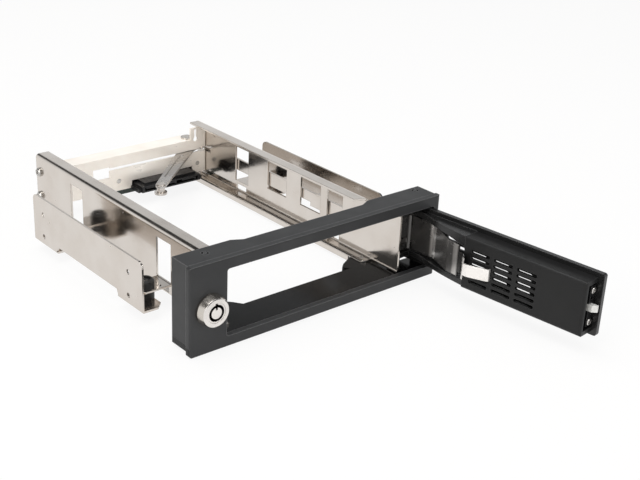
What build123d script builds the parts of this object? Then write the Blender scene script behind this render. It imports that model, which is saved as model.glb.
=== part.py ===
from build123d import *
import os
from math import cos, radians, sin

# Trayless mobile rack: a sprung cage for one 3.5 inch drive in a 5.25 inch bay.
# X runs to the right, Y to the rear and Z up. The sizes below are measured from
# the bezel's front face, and the finished pieces are shifted so that the origin
# is the middle of the bezel lip's bottom face. The door is modelled shut and
# then turned open about its pin. All lengths are in millimetres.

# Bezel
bezel_width = 148.5
bezel_height = 42.5
bezel_depth = 15.3
lip_overhang = 1.25
bezel_body_width = bezel_width - 2 * lip_overhang
bezel_body_bottom = 1.2
bezel_body_drop = 0.4
bezel_wall = 2.2
bezel_side_wall = 1.4
lip_depth = 3.0
lip_corner_left = 1.0
lip_corner_right = 2.5
lip_outline_corner = 1.2
body_side = bezel_body_width / 2
opening_left = 18.2 - body_side
opening_right = body_side - 3.0
opening_bottom = 4.9
opening_top = 37.3
opening_corner = 1.2
top_notch_depth = 2.7
top_notch_left = 30.5 - body_side
top_notch_right = body_side - 34.0
top_notch_slant = 5.5
floor_top = 3.7
floor_depth = 22.5
shelf_left_depth = 29.7
shelf_left_inner = 41.0 - body_side
shelf_right_depth = 33.0
shelf_right_inner = body_side - 35.5
shelf_chamfer = 3.0
floor_rib = 1.6
mark_radius = 1.7
mark_depth = 0.4
mark_left = (13.7 - body_side, 10.4)
mark_right = (body_side - 5.2, 12.0)
striker_reach = 1.9
striker_sheet = 1.2
striker_height = 6.5

# Rails that carry the drive
rail_outer = body_side - 20.2
rail_sheet = 1.0
rail_bend = 1.5
rail_front = 4.4
rail_rear = 174.5
rail_top = 35.7
rail_foot_top = 4.8
rail_flange = 7.4
rail_foot = 6.4
rail_lip_bottom = 1.1
right_flange_front = 29.0
right_flange_slant = 8.0
right_foot_front = 23.0
left_foot_front = 10.0
foot_tip_radius = 2.9
lip_gap = 1.0
window_top = 30.6
tab_window_bottom = 10.6
mid_window_bottom = 14.8
tab_top = 10.4
tab_reach = 15.8
front_window = (46.6, 58.7)
rear_window = (126.3, 138.3)
mid_windows = ((64.0, 80.4), (92.3, 108.9))
latch_notch_bottom = 15.6
latch_notch_top = 32.8
latch_notch_rear = 9.9
guide_reach = 3.2
guide_height = 3.4

# Side brackets and their rubber dampers
bracket_outer = body_side
bracket_sheet = 1.0
bracket_front = 39.0
bracket_rear = 139.8
bracket_top = 29.6
bracket_foot_bottom = 4.5
bracket_mid_bottom = 8.4
bracket_corner = 3.0
foot_reach = 12.0
foot_chamfer = 3.5
front_foot = (39.0, 60.0)
rear_foot = (117.0, 139.8)
side_hole_front = 50.8
side_hole_pitch = 79.25
side_hole_low = 9.1
side_hole_rise = 11.84
side_hole_radius = 1.25
damper_x = body_side - 9.0
damper_radius = 4.2
damper_neck = 2.8
damper_top = 15.2
damper_cup = 1.2

# Rear plate, backplane and connectors
plate_front = 167.5
plate_sheet = 1.0
plate_bottom = 7.0
plate_band_top = 27.5
plate_flange = 9.5
plate_full_left = rail_outer - 11.8
plate_gap = 0.1
rear_screw_high = 26.5
rear_screw_low = 13.2
slot_width = 75.3
slot_left = rail_outer - slot_width
slot_gap = 0.25
pin_slot_left = rail_outer - 6.0
pin_slot = (19.4, 22.0)
notch_outer = 75.8
notch_inner = 65.4
stud_notch = (rail_outer - notch_outer, rail_outer - notch_inner)
stud_notch_span = (15.6, 22.0)
keyhole_x = rail_outer - 8.3
keyhole_bottom = 27.6
keyhole_top = 33.6
keyhole_radius = 1.5
keyhole_slot = 0.8
connector_left = rail_outer - 52.2
connector_right = rail_outer - 9.8
connector_bottom = 6.4
connector_height = 4.8
connector_length = 12.0
connector_front = plate_front + plate_sheet + 1.5 - connector_length
board_gap = 1.5
board_sheet = 1.6
board_reach = 62.3
board_left = rail_outer - board_reach
board_right = rail_outer - 4.3
board_bottom = 3.2
board_top = 18.3
board_corner = (rail_outer - 7.8, 5.4)
board_screw_inset = 2.6
board_screw_z = 12.6
data_socket_left = rail_outer - 22.2
data_socket_width = 12.4
data_blade = 9.4
power_blade = 20.0
power_socket_left = rail_outer - 49.8
power_socket_width = 23.4

# Door, in its shut place
hinge_x = body_side - 16.7
hinge_y = 11.8
hinge_pin_radius = 1.5
door_angle = 96.0
door_left = opening_left + 0.5
door_right = opening_right - 4.4
door_bottom = 6.0
door_top = 36.6
door_sheet = 2.6
door_corner = 1.2
door_thin = 1.2
door_arch = (16.3, 36.3)
door_arch_rise = 1.4
cover_left = door_left + 3.0
cover_right = hinge_x - 41.8
cover_bottom = 7.5
cover_top = 34.3
cover_back = 11.6
cover_wall = 1.6
cover_edge = 1.4
cover_end_rear = 9.6
cover_end_margin = 2.2
vent_width = 10.8
vent_height = 1.8
vent_pitch = 3.12
vent_rows = 6
vent_top = 28.9
vent_spacing = 13.0
vent_first = cover_right - 40.6
front_vent_first = cover_right - 31.9
cover_vents = 3
front_vents = 4
arm_thick = 2.6
arm_eye_radius = 3.1
arm_throat = 3.9
arm_curve = ((0.24, 0.195), (0.58, 0.61), (0.77, 0.93), (0.86, 1.0))
upper_arm_low = 31.2
upper_arm_near_cover = 28.9
upper_arm_flat = 39.0
lower_arm_bottom = 8.8

# Sprung latch in the door
latch_z = 20.6
latch_travel = 3.0
latch_sheet = 2.4
latch_front = 4.4
latch_half = 1.65
latch_body_half = 2.6
latch_nose = door_left - 0.1
latch_tail = door_left + 18.8
latch_plate_front = 2.8
latch_plate_sheet = 1.2
latch_plate_left = cover_left + 0.5
latch_plate_right = latch_plate_left + latch_plate_sheet
latch_plate_span = (10.9, 30.9)
latch_hole = (4.9, 24.9)
latch_hole_radius = 0.8
slider_length = 7.6
slider_height = 4.6
latch_slot_left = door_left + 10.3
grip_size = (19.0, 13.0)
grip_depth = 0.9
spring_right = door_left + 28.8
spring_sheet = 0.3
spring_height = 4.0
latch_screw_y = 4.9
latch_screw_z = (13.1, 28.7)
latch_screw_head = 1.65
post_length = 7.0
post_half = 1.5

# Sheet strap on the door, crank, push bar and eject arm
strap_sheet = 0.8
strap_bottom = 12.6
strap_top = 30.4
strap_neck_bottom = 14.8
strap_neck_top = 25.4
strap_tab_bottom = 17.1
strap_tab_top = 23.1
strap_flat_y = 3.5
strap_bend_x = hinge_x - 17.4
strap_slant_end = (hinge_x - 31.3, 10.2)
strap_tab_left = cover_right - 15.7
relief_slit = 1.0
relief_span = (16.0, 25.5)
crank_bottom = 17.9
crank_sheet = 1.4
crank_radius = 6.78
crank_hub_radius = 3.0
link_pin_radius = 1.25
bar_sheet = 1.2
bar_gap = 0.3
bar_bottom = 16.2
bar_top = 24.0
bar_rear_top = 22.8
bar_web_front = 25.4
bar_web_rear = 170.8
fork_gap = 0.4
arm_pivot_x = rail_outer - 11.3
arm_pivot_y = 172.0
arm_long = 59.46
arm_short = 14.0
arm_swing = 42.27
arm_bottom = 19.9
arm_sheet = 1.2
arm_root_width = 8.4
arm_tip_width = 5.6
arm_pin_radius = 2.0
stud_neck = 1.3

# Key lock
lock_x = 9.2 - body_side
lock_z = 21.0
lock_collar_radius = 7.5
lock_face_radius = 6.25
lock_reach = 5.0
lock_barrel_radius = 5.6
lock_barrel_depth = 7.0
lock_plug_radius = 4.6
keyway_outer = 3.9
keyway_inner = 2.1
keyway_depth = 3.5
cam_sheet = 1.4
cam_length = 15.0
cam_width = 7.6

# Clearances
run_gap = 0.06
seat_gap = 0.1
move_gap = 0.3

strap_knuckle = hinge_pin_radius + run_gap + strap_sheet / 2
bar_inner = rail_outer + bar_gap
bar_outer = bar_inner + bar_sheet
fork_top = bar_bottom + bar_sheet
half_swing = arm_swing / 2
half_door = door_angle / 2
link_y_open = arm_pivot_y + arm_short * sin(radians(half_swing))
crank_y_open = hinge_y + crank_radius * sin(radians(half_door))


def block(x_span, y_span, z_span):
    low = (min(x_span), min(y_span), min(z_span))
    size = (max(x_span) - low[0], max(y_span) - low[1], max(z_span) - low[2])
    return Pos(*low) * Box(*size, align=(Align.MIN, Align.MIN, Align.MIN))


def rod_z(x, y, z_span, radius):
    height = max(z_span) - min(z_span)
    return Pos(x, y, min(z_span)) * Cylinder(radius, height, align=(Align.CENTER, Align.CENTER, Align.MIN))


def rod_y(x, z, y_span, radius):
    depth = max(y_span) - min(y_span)
    rod = Cylinder(radius, depth, align=(Align.CENTER, Align.CENTER, Align.MIN))
    return Pos(x, min(y_span), z) * Rot(-90, 0, 0) * rod


def rod_x(y, z, x_span, radius):
    length = max(x_span) - min(x_span)
    rod = Cylinder(radius, length, align=(Align.CENTER, Align.CENTER, Align.MIN))
    return Pos(min(x_span), y, z) * Rot(0, 90, 0) * rod


def slab(outline, z_span):
    """A flat outline in X and Y, given thickness over z_span."""
    return Pos(0, 0, min(z_span)) * extrude(outline, max(z_span) - min(z_span))


def wall_xz(outline, y_span):
    """An outline drawn in X and Z, extruded to the rear over y_span."""
    face = Plane.XZ.offset(-min(y_span)) * outline
    return extrude(face, -(max(y_span) - min(y_span)))


def slot_face(low, high):
    """A rectangle with fully rounded short ends, between two corners."""
    width, height = high[0] - low[0], high[1] - low[1]
    centre = ((low[0] + high[0]) / 2, (low[1] + high[1]) / 2)
    return Pos(*centre) * SlotOverall(width, height)


def bent_strip(points, sheet, bend):
    """The edge outline of a bent sheet, from its centre line and centre bend radius."""
    path = [Vector(*point) for point in points]
    runs = [(b - a).normalized() for a, b in zip(path, path[1:])]
    normals = [Vector(-run.Y, run.X) for run in runs]
    turns = [a.cross(b).Z for a, b in zip(runs, runs[1:])]
    bends = bend if isinstance(bend, (list, tuple)) else [bend] * len(turns)
    sides = []
    for shift in (sheet / 2, -sheet / 2):
        side = [path[0] + normals[0] * shift]
        for corner, before, after in zip(path[1:-1], normals, normals[1:]):
            side.append(corner + (before + after) * (shift / (1 + before.dot(after))))
        side.append(path[-1] + normals[-1] * shift)
        radii = [r - shift if turn > 0 else r + shift for r, turn in zip(bends, turns)]
        sides.append(FilletPolyline(*side, radius=radii))
    left, right = sides
    ends = [*Line(left @ 1, right @ 1).edges(), *Line(right @ 0, left @ 0).edges()]
    return make_face([*left.edges(), *right.edges(), *ends])


def mirrored(part):
    return mirror(part, about=Plane.YZ)


def vertical_edges(part):
    return part.edges().filter_by(Axis.Z)


def turned(part, angle, x, y):
    """The part turned about a vertical line at (x, y)."""
    return Pos(x, y, 0) * Rot(0, 0, angle) * Pos(-x, -y, 0) * part


def screw_up(x, y, seat_z, shaft_length, radius, head_radius, head_height):
    """A pan head screw whose head sits under seat_z, with its shaft pointing up."""
    head = rod_z(x, y, (seat_z - head_height, seat_z), head_radius)
    rim = head.edges().group_by(Axis.Z)[0]
    head = chamfer(rim, head_height * 0.4)
    cross = Rot(0, 0, 45) * Box(head_radius * 1.1, head_radius * 0.28, head_height)
    cross += Rot(0, 0, 135) * Box(head_radius * 1.1, head_radius * 0.28, head_height)
    head -= Pos(x, y, seat_z - head_height) * cross
    return head + rod_z(x, y, (seat_z, seat_z + shaft_length), radius)


def screw_x(x, y, z, direction, shaft_length, radius, head_radius, head_height):
    """The same screw seated on a wall at x, whose shaft points along direction in X."""
    screw = screw_up(0, 0, 0, shaft_length, radius, head_radius, head_height)
    return Pos(x, y, z) * Rot(0, 90 * direction, 0) * screw


def screw_y(x, y, z, direction, shaft_length, radius, head_radius, head_height):
    """The same screw seated on a wall at y, whose shaft points along direction in Y."""
    screw = screw_up(0, 0, 0, shaft_length, radius, head_radius, head_height)
    return Pos(x, y, z) * Rot(-90 * direction, 0, 0) * screw


# Bezel
def bezel_floor():
    side = bezel_body_width / 2 - bezel_side_wall
    outline = [
        (-side, lip_depth),
        (-side, bezel_depth),
        (-rail_outer - shelf_chamfer, bezel_depth),
        (-rail_outer - shelf_chamfer, shelf_left_depth),
        (shelf_left_inner - shelf_chamfer, shelf_left_depth),
        (shelf_left_inner, shelf_left_depth - shelf_chamfer),
        (shelf_left_inner + shelf_chamfer, floor_depth),
        (shelf_right_inner, floor_depth),
        (shelf_right_inner - shelf_chamfer, floor_depth + shelf_chamfer),
        (shelf_right_inner, shelf_left_depth - shelf_chamfer / 2),
        (shelf_right_inner + 3 * shelf_chamfer, shelf_right_depth),
        (rail_outer + shelf_chamfer, shelf_right_depth),
        (rail_outer + shelf_chamfer, bezel_depth),
        (side, bezel_depth),
        (side, lip_depth),
    ]
    face = make_face(Polyline(*outline, close=True))
    return slab(face, (bezel_body_bottom, floor_top))


def bezel_screw_spots():
    shelf_x = rail_outer - rail_foot / 2 - rail_sheet / 2
    left = [(-shelf_x, left_foot_front + 5.0), (-shelf_x, floor_depth + 2.5)]
    return [*left, (shelf_x, right_foot_front + 4.5)]


def bezel():
    half = bezel_width / 2
    body_half = bezel_body_width / 2
    body_top = bezel_height - bezel_body_drop
    lip = block((-half, half), (0, lip_depth), (0, bezel_height))
    corners = vertical_edges(lip).group_by(Axis.Y)[0].sort_by(Axis.X)
    lip = fillet(corners[0], lip_corner_left)
    corners = vertical_edges(lip).group_by(Axis.Y)[0].sort_by(Axis.X)
    lip = fillet(corners[-1], lip_corner_right)
    outline = Pos(0, bezel_height / 2) * RectangleRounded(bezel_width, bezel_height, lip_outline_corner)
    lip = lip & wall_xz(outline, (-1, lip_depth + 1))
    hole_size = (opening_right - opening_left, opening_top - opening_bottom)
    hole_centre = ((opening_right + opening_left) / 2, (opening_top + opening_bottom) / 2)
    hole = Pos(*hole_centre) * RectangleRounded(*hole_size, opening_corner)
    body = block((-body_half, body_half), (lip_depth, bezel_depth), (bezel_body_bottom, body_top))
    inner = block(
        (-body_half + bezel_wall, body_half - bezel_side_wall),
        (lip_depth, bezel_depth + 1),
        (bezel_body_bottom - 1, body_top - bezel_wall),
    )
    part = lip + (body - inner) + bezel_floor()
    floor_block = block((-half, half), (lip_depth, bezel_depth), (0, floor_top))
    part -= wall_xz(hole, (-1, lip_depth + 1)) - floor_block

    notch_y = bezel_depth - top_notch_depth
    notch = Polyline(
        (top_notch_left, bezel_depth + 1),
        (top_notch_left, bezel_depth),
        (top_notch_left + top_notch_slant, notch_y),
        (top_notch_right - top_notch_slant, notch_y),
        (top_notch_right, bezel_depth),
        (top_notch_right, bezel_depth + 1),
        close=True,
    )
    part -= slab(make_face(notch), (body_top - bezel_wall - 1, bezel_height + 1))
    for x, y in (mark_left, mark_right):
        ring = Circle(mark_radius) - Circle(mark_radius * 0.55)
        part -= slab(Pos(x, y) * ring, (body_top - mark_depth, body_top + 1))

    # Lug behind the lip that the latch catches
    lug_x = (opening_left - striker_reach, opening_left + striker_reach)
    lug_z = (latch_z - striker_height / 2, latch_z + striker_height / 2)
    part += block(lug_x, (lip_depth, lip_depth + striker_sheet), lug_z)

    # Bosses that hold the hinge pin, one on the floor and one under the top wall
    part += rod_z(hinge_x, hinge_y, (floor_top - 1, lower_arm_bottom - move_gap), arm_eye_radius)
    part += rod_z(hinge_x, hinge_y, (cover_top + move_gap, body_top - bezel_wall / 2), arm_eye_radius)
    part -= rod_z(hinge_x, hinge_y, (bezel_body_bottom + 1, body_top - bezel_wall / 2), hinge_pin_radius)

    # Ribs under the floor and a web behind the lock panel
    for x in (-rail_outer + rail_foot + 4, 0, rail_outer - rail_foot - 4):
        rib_x = (x - floor_rib / 2, x + floor_rib / 2)
        part += block(rib_x, (lip_depth, floor_depth - 2), (0.3, bezel_body_bottom))
    part -= rod_y(lock_x, lock_z, (-1, lip_depth + 1), lock_barrel_radius + seat_gap)
    for x, y in bezel_screw_spots():
        part -= rod_z(x, y, (bezel_body_bottom - 1, floor_top + 1), 1.6)
        part -= rod_z(x, y, (bezel_body_bottom - 1, bezel_body_bottom + 1.2), 2.9)
    return part


def bezel_screws():
    seat = bezel_body_bottom + 1.2
    length = rail_foot_top - seat
    spots = bezel_screw_spots()
    return Compound([screw_up(x, y, seat, length, 1.45, 2.7, 1.1) for x, y in spots])


# Rails
def rail_profile():
    centre = rail_outer - rail_sheet / 2
    top = rail_top - rail_sheet / 2
    foot = rail_foot_top - rail_sheet / 2
    lip_x = rail_outer - rail_foot
    points = [
        (rail_outer - rail_flange, top),
        (centre, top),
        (centre, foot),
        (lip_x, foot),
        (lip_x, rail_lip_bottom),
    ]
    return bent_strip(points, rail_sheet, [rail_bend, rail_bend, rail_sheet])


def damper_tab(y_span):
    """The tab that stands out from the rail and sits in the damper's groove."""
    y_mid = side_hole_front if y_span == front_window else side_hole_front + side_hole_pitch
    span_x = (rail_outer - rail_sheet, rail_outer + tab_reach)
    tab = block(span_x, y_span, (tab_top - rail_sheet, tab_top))
    outer = vertical_edges(tab).group_by(Axis.X)[-1]
    tab = chamfer(outer, 2.0)
    tab -= rod_z(damper_x, y_mid, (0, tab_top + 1), damper_neck + seat_gap / 2)
    hole_y = min(y_span) + 2.6
    return tab - rod_z(rail_outer + 4.6, hole_y, (0, tab_top + 1), 0.9)


def rail():
    """The sheet shape that both rails share, on the right-hand side."""
    part = wall_xz(rail_profile(), (rail_front, rail_rear))
    wall = (rail_outer - rail_sheet * 2, rail_outer + 1)
    for span in (front_window, rear_window):
        part -= block(wall, span, (tab_window_bottom, window_top))
        part += damper_tab(span)
        lower = (min(span) + 1.5, max(span) - 1.5)
        part -= block(wall, lower, (rail_foot_top + rail_bend / 2, tab_top - rail_sheet - 0.6))
    rear_screw_cuts = [rod_x(y, z, (rail_outer - 2, rail_outer + 1), 1.6) for y, z in rear_screw_spots()]
    for cut in rear_screw_cuts:
        part -= cut
    lip_front = shelf_right_depth + lip_gap
    lip_x = (rail_outer - rail_foot - rail_sheet, rail_outer - rail_foot + rail_sheet)
    part -= block(lip_x, (rail_front - 1, lip_front), (0, rail_foot_top - rail_sheet))
    for x, y in bezel_screw_spots():
        if x > 0:
            part -= rod_z(x, y, (rail_foot_top - 2, rail_foot_top + 1), 1.5)
    return part


def rear_screw_spots():
    mid = plate_front + plate_sheet + 2.6
    return [(mid, rear_screw_high), (mid, rear_screw_low)]


def left_rail():
    part = mirrored(rail())
    wall = (-rail_outer - 1, -rail_outer + rail_sheet * 2)
    notch_y = (rail_front - 1, latch_notch_rear)
    part -= block(wall, notch_y, (latch_notch_bottom, latch_notch_top))
    foot = (-rail_outer - 1, -rail_outer + rail_foot + 2)
    part -= block(foot, (rail_front - 1, left_foot_front), (0, rail_foot_top + rail_bend))
    for x, y in bezel_screw_spots():
        if x < 0:
            part -= rod_z(x, y, (rail_foot_top - 2, rail_foot_top + 1), 1.5)
    return part


def bar_guide(y_front):
    """A hook lanced from the rail that keeps the push bar against the wall."""
    y_span = (y_front, y_front + guide_reach)
    low = bar_top + bar_gap
    arm = block((rail_outer - rail_sheet, bar_outer + bar_gap + rail_sheet), y_span, (low, low + rail_sheet))
    drop = block(
        (bar_outer + bar_gap, bar_outer + bar_gap + rail_sheet),
        y_span,
        (low + rail_sheet - guide_height, low + rail_sheet),
    )
    return arm + drop


def right_rail():
    part = rail()
    wall = (rail_outer - rail_sheet * 2, rail_outer + 1)
    for front, rear in mid_windows:
        part -= block(wall, (front, rear), (mid_window_bottom, window_top))
        part += bar_guide(front)
    top_cut = Polyline(
        (rail_outer - rail_flange - 1, rail_front - 1),
        (rail_outer - rail_sheet, rail_front - 1),
        (rail_outer - rail_sheet, right_flange_front),
        (rail_outer - rail_flange - 1, right_flange_front + right_flange_slant * 0.4),
        close=True,
    )
    part -= slab(make_face(top_cut), (rail_top - rail_sheet - 0.2, rail_top + 1))
    foot = (rail_outer - rail_foot - 1, rail_outer - rail_sheet)
    part -= block(foot, (rail_front - 1, right_foot_front), (0, rail_foot_top + 0.2))
    inner = rail_outer - rail_foot - rail_sheet / 2
    radius = foot_tip_radius
    corner = Rectangle(radius + 1, radius + 1, align=(Align.MAX, Align.MAX)) - Circle(radius)
    tip = Pos(inner + radius, right_foot_front + radius) * corner
    part -= slab(tip, (0, rail_foot_top + 0.2))
    arm_cut = (arm_bottom - rail_sheet, arm_bottom + arm_sheet + rail_sheet)
    front = arm_pivot_y - arm_short * sin(radians(half_swing)) - arm_root_width / 2
    return part - block(wall, (front, rail_rear + 1), arm_cut)


# Side brackets
def bracket():
    """The right-hand bracket: an upright sheet with two feet folded inwards."""
    outline = Polyline(
        (bracket_front, bracket_foot_bottom),
        (bracket_front, bracket_top),
        (bracket_rear, bracket_top),
        (bracket_rear, bracket_foot_bottom),
        (rear_foot[0] + 1, bracket_foot_bottom),
        (rear_foot[0] - 1, bracket_mid_bottom),
        (front_foot[1] + 1, bracket_mid_bottom),
        (front_foot[1] - 1, bracket_foot_bottom),
        close=True,
    )
    upright = make_face(outline)
    corners = upright.vertices().group_by(Axis.Y)[-1]
    upright = fillet(corners, bracket_corner)
    plane = Plane(origin=(bracket_outer, 0, 0), x_dir=(0, 1, 0), z_dir=(1, 0, 0))
    part = extrude(plane * upright, -bracket_sheet)
    for y_span in (front_foot, rear_foot):
        low, high = min(y_span), max(y_span)
        inner = bracket_outer - foot_reach
        foot_z = (bracket_foot_bottom, bracket_foot_bottom + bracket_sheet)
        foot = block((inner, bracket_outer), (low, high), foot_z)
        foot = chamfer(vertical_edges(foot).group_by(Axis.X)[0], foot_chamfer)
        y_mid = side_hole_front if y_span == front_foot else side_hole_front + side_hole_pitch
        part += foot - rod_z(damper_x, y_mid, (0, 10), 1.6)
    bends = part.edges().filter_by(Axis.Y)
    bends = bends.filter_by_position(Axis.Z, bracket_foot_bottom - 0.1, bracket_foot_bottom + 0.1)
    part = fillet(bends.filter_by_position(Axis.X, bracket_outer - 0.1, bracket_outer + 0.1), 0.9)
    for y in (side_hole_front, side_hole_front + side_hole_pitch):
        for z in (side_hole_low, side_hole_low + side_hole_rise):
            part -= rod_x(y, z, (bracket_outer - 3, bracket_outer + 1), side_hole_radius)
    return part


def damper(x, y):
    """A rubber grommet: two collars, a neck for the tab and a cup in its top."""
    low = bracket_foot_bottom + bracket_sheet
    profile = [
        (1.5, low),
        (damper_radius, low),
        (damper_radius, tab_top - rail_sheet - seat_gap / 2),
        (damper_neck, tab_top - rail_sheet - seat_gap / 2),
        (damper_neck, tab_top + seat_gap / 2),
        (damper_radius, tab_top + seat_gap / 2),
        (damper_radius, damper_top - 0.9),
        (damper_radius - 0.9, damper_top),
        (damper_radius - 1.6, damper_top),
        (damper_radius - 1.9, damper_top - damper_cup),
        (1.5, damper_top - damper_cup),
    ]
    face = Plane.XZ * make_face(Polyline(*profile, close=True))
    return Pos(x, y, 0) * revolve(face, Axis.Z)


def damper_screws():
    screws = []
    for side in (-1, 1):
        for y in (side_hole_front, side_hole_front + side_hole_pitch):
            length = damper_top - damper_cup - bracket_foot_bottom
            screws.append(screw_up(side * damper_x, y, bracket_foot_bottom, length, 1.5, 2.9, 1.6))
    return Compound(screws)


# Rear plate
def rear_plate():
    half = rail_outer - rail_sheet - plate_gap
    rear = plate_front + plate_sheet
    part = block((-half, half), (plate_front, rear), (plate_bottom, plate_band_top))
    full_top = rail_top - rail_sheet - plate_gap
    part += block((plate_full_left, half), (plate_front, rear), (plate_band_top, full_top))
    part += block((-half, -half + 7), (plate_front, rear), (plate_band_top, full_top))
    flange_z = (plate_band_top - plate_sheet, plate_band_top)
    part += block((-half + 7, plate_full_left), (plate_front, rear + plate_flange), flange_z)
    for side in (-1, 1):
        wall = (side * half, side * (half - plate_sheet))
        part += block(wall, (plate_front, rail_rear), (plate_bottom, full_top))
    front_edges = part.edges().filter_by(Axis.Z).group_by(Axis.Y)[0].sort_by(Axis.X)
    part = fillet([front_edges[0], front_edges[-1]], 0.8)
    for side in (-1, 1):
        corner = (side * (half - rail_bend), side * (half + 1))
        part -= block(corner, (plate_front - 1, rail_rear + 1), (full_top - rail_bend, full_top + 1))
    arm_slot = (arm_bottom - slot_gap, arm_bottom + arm_sheet + slot_gap)
    part -= block((slot_left, half + 1), (plate_front - 1, rail_rear + 1), arm_slot)
    part -= block((pin_slot_left, half + 1), (plate_front - 1, rail_rear + 1), pin_slot)
    part -= block(stud_notch, (plate_front - 1, rear + 1), stud_notch_span)
    gap_x = (connector_left + 0.8, connector_right - 0.8)
    part -= block(gap_x, (plate_front - 1, rear + 1), (0, connector_bottom + connector_height + seat_gap))
    shaft = Pos(keyhole_x, (keyhole_bottom + keyhole_top) / 2)
    keyhole = shaft * Rectangle(2 * keyhole_slot, keyhole_top - keyhole_bottom)
    keyhole += Pos(keyhole_x, keyhole_bottom) * Circle(keyhole_radius)
    part -= wall_xz(keyhole, (plate_front - 1, rear + 1))
    for y, z in rear_screw_spots():
        for side in (-1, 1):
            part -= rod_x(y, z, (side * (half - 2), side * (half + 1)), 1.35)
    for x in board_screw_spots():
        part -= rod_y(x, board_screw_z, (plate_front - 1, rear + 1), 1.35)
    pin_z = (plate_band_top - 2, plate_band_top + 1)
    part -= rod_z(arm_pivot_x, arm_pivot_y, pin_z, arm_pin_radius + seat_gap)
    return part


def rear_plate_screws():
    screws = []
    for side in (-1, 1):
        for y, z in rear_screw_spots():
            screws.append(screw_x(side * rail_outer, y, z, -side, 3.4, 1.3, 2.4, 1.5))
    return Compound(screws)


def board_screw_spots():
    return (board_left + board_screw_inset, board_right - board_screw_inset)


def backplane_board():
    front = plate_front + plate_sheet + board_gap
    outline = (board_left, board_right), (front, front + board_sheet), (board_bottom, board_top)
    board = block(*outline)
    through = (front - 1, front + board_sheet + 1)
    board -= block((board_corner[0], board_right + 1), through, (0, board_corner[1]))
    for x in board_screw_spots():
        board -= rod_y(x, board_screw_z, (front - 1, front + board_sheet + 1), 1.4)
    return board


def board_spacers():
    span = (plate_front + plate_sheet, plate_front + plate_sheet + board_gap)
    spacers = []
    for x in board_screw_spots():
        bore = rod_y(x, board_screw_z, (span[0] - 1, span[1] + 1), 1.4)
        spacers.append(rod_y(x, board_screw_z, span, 2.6) - bore)
    return Compound(spacers)


def board_screws():
    seat = plate_front + plate_sheet + board_gap + board_sheet
    return Compound([screw_y(x, seat, board_screw_z, -1, board_sheet + board_gap + plate_sheet, 1.3, 2.3, 1.4)
                     for x in board_screw_spots()])


def drive_connector():
    """The combined data and power receptacle that the drive slides onto."""
    rear = plate_front + plate_sheet + board_gap
    low, high = connector_bottom, connector_bottom + connector_height
    step_low, step_high = low + connector_height * 0.42, low + connector_height * 0.75
    part = block((connector_left + 1.8, connector_right - 1.8), (connector_front, rear), (low, step_high))
    base_y = (connector_front + 1.2, plate_front - seat_gap)
    part += block((connector_left, connector_right), base_y, (low, step_low))
    step_x = (connector_left + 4.6, connector_right - 3.6)
    part += block(step_x, (connector_front + 2.2, rear), (step_high, high))
    # Two L-shaped blades for data and power, standing in a shared well
    well_y = (connector_front - 1, connector_front + connector_length / 2)
    well_z = (low + 0.8, step_high - 0.8)
    part -= block((connector_left + 3.4, connector_right - 3.4), well_y, well_z)
    blade_y = (connector_front + 0.4, connector_front + connector_length / 2)
    blade_z = (well_z[1] - 1.1, well_z[1] - 0.3)
    data_x = (connector_right - 4.6 - data_blade, connector_right - 4.6)
    power_x = (connector_left + 4.6, connector_left + 4.6 + power_blade)
    for span in (data_x, power_x):
        part += block(span, blade_y, blade_z)
        part += block((span[1] - 1.1, span[1]), blade_y, (well_z[0] + 0.2, blade_z[1]))
    return part


def socket(left, width):
    """A rear socket: a shroud with an L-shaped blade inside it."""
    front = plate_front + plate_sheet + board_gap + board_sheet
    depth, low, high, wall = 8.6, 5.6, 12.2, 1.1
    part = block((left, left + width), (front, front + depth), (low, high))
    well_x = (left + wall, left + width - wall)
    well = block(well_x, (front + 2.0, front + depth + 1), (low + wall, high - wall))
    part -= well
    blade_y = (front + 1.8, front + depth - 0.8)
    part += block((left + 2.4, left + width - 2.4), blade_y, (high - 3.6, high - 2.4))
    part += block((left + 2.4, left + 3.6), blade_y, (low + 2.0, high - 3.0))
    outer = part.edges().filter_by(Axis.Y).filter_by(lambda e: e.length > depth - 0.1)
    return fillet(outer, 0.5)


# Door, modelled shut
def arm_outline():
    """The gooseneck in plan: it hooks round the front end of the rail."""
    right = hinge_x + arm_eye_radius
    across, fall = hinge_x - cover_right, cover_back - arm_throat
    curve = [(cover_right + across * u, cover_back - fall * v) for u, v in arm_curve]
    back = Spline((cover_right, cover_back), *curve)
    front = Polyline(
        curve[-1],
        (right, arm_throat),
        (right, door_sheet / 2),
        (cover_right, door_sheet / 2),
        (cover_right, cover_back),
    )
    body = make_face([*back.edges(), *front.edges()])
    stem = Pos(hinge_x, 0) * Rectangle(2 * arm_eye_radius, hinge_y, align=(Align.CENTER, Align.MIN))
    return body + stem + Pos(hinge_x, hinge_y) * Circle(arm_eye_radius)


def vents(first, count, y_span):
    cuts = []
    for column in range(count):
        left = first + column * vent_spacing
        for row in range(vent_rows):
            top = vent_top - row * vent_pitch
            cuts.append(slot_face((left, top - vent_height), (left + vent_width, top)))
    return [wall_xz(cut, y_span) for cut in cuts]


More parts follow.
